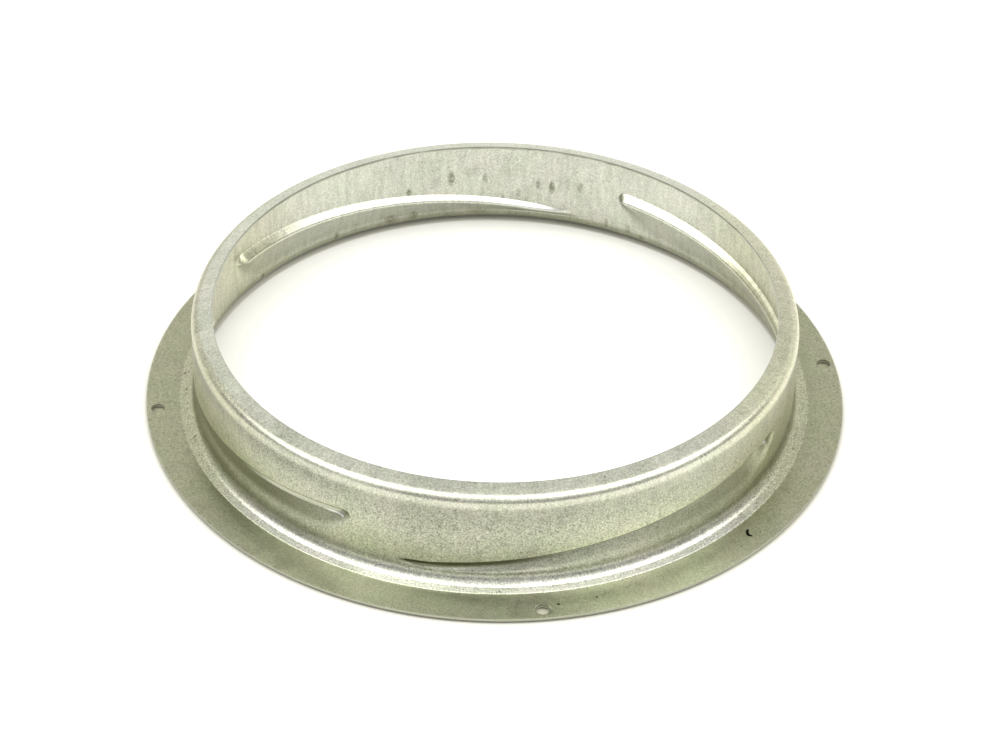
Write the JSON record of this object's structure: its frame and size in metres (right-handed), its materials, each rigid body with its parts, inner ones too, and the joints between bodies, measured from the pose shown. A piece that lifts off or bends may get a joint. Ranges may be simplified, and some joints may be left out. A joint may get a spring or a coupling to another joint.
{
  "type": "valve mounting frame",
  "caption": "Pressed zinc-coated steel ring with a flat screw flange, a collar that slips into a round duct, an inturned lip and sloping inner beads that hold a twist-in air valve.",
  "frame": {"origin": "on the ring's axis, at the underside of the flange", "axes": "+Z along the ring's axis from the flange to the lip; +X towards the right of the picture"},
  "size_m": [0.185, 0.185, 0.0285],
  "materials": {
    "zinc": "satin galvanised, fine grain"
  },
  "bodies": {
    "root": {"mounting_frame": "zinc"}
  },
  "joints": []
}
